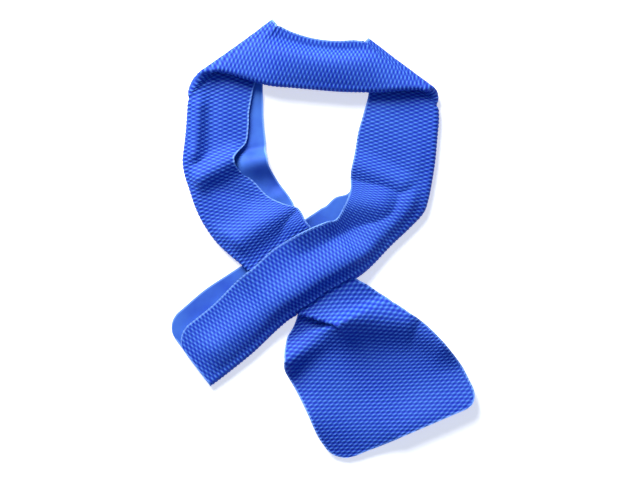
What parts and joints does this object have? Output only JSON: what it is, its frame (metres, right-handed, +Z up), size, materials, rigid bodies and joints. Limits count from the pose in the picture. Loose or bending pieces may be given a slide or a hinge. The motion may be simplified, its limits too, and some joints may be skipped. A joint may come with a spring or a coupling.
{
  "type": "cooling neck wrap",
  "caption": "Cooling neck wrap: an embossed absorbent sheet folded lengthwise, laid as an open neck loop with one end passed through its own slit and opened flat.",
  "frame": {"origin": "middle of the wrap's footprint, on the surface that it lies on", "axes": "+Z up from the surface, +Y along the longest extent towards the collar that lies behind the neck, +X to the right seen from above"},
  "size_m": [0.2724, 0.393, 0.0242],
  "materials": {
    "absorbent_sheet": "matt embossed sheet, smooth on the back"
  },
  "bodies": {
    "root": {"wrap_sheet": "absorbent_sheet"}
  },
  "joints": []
}
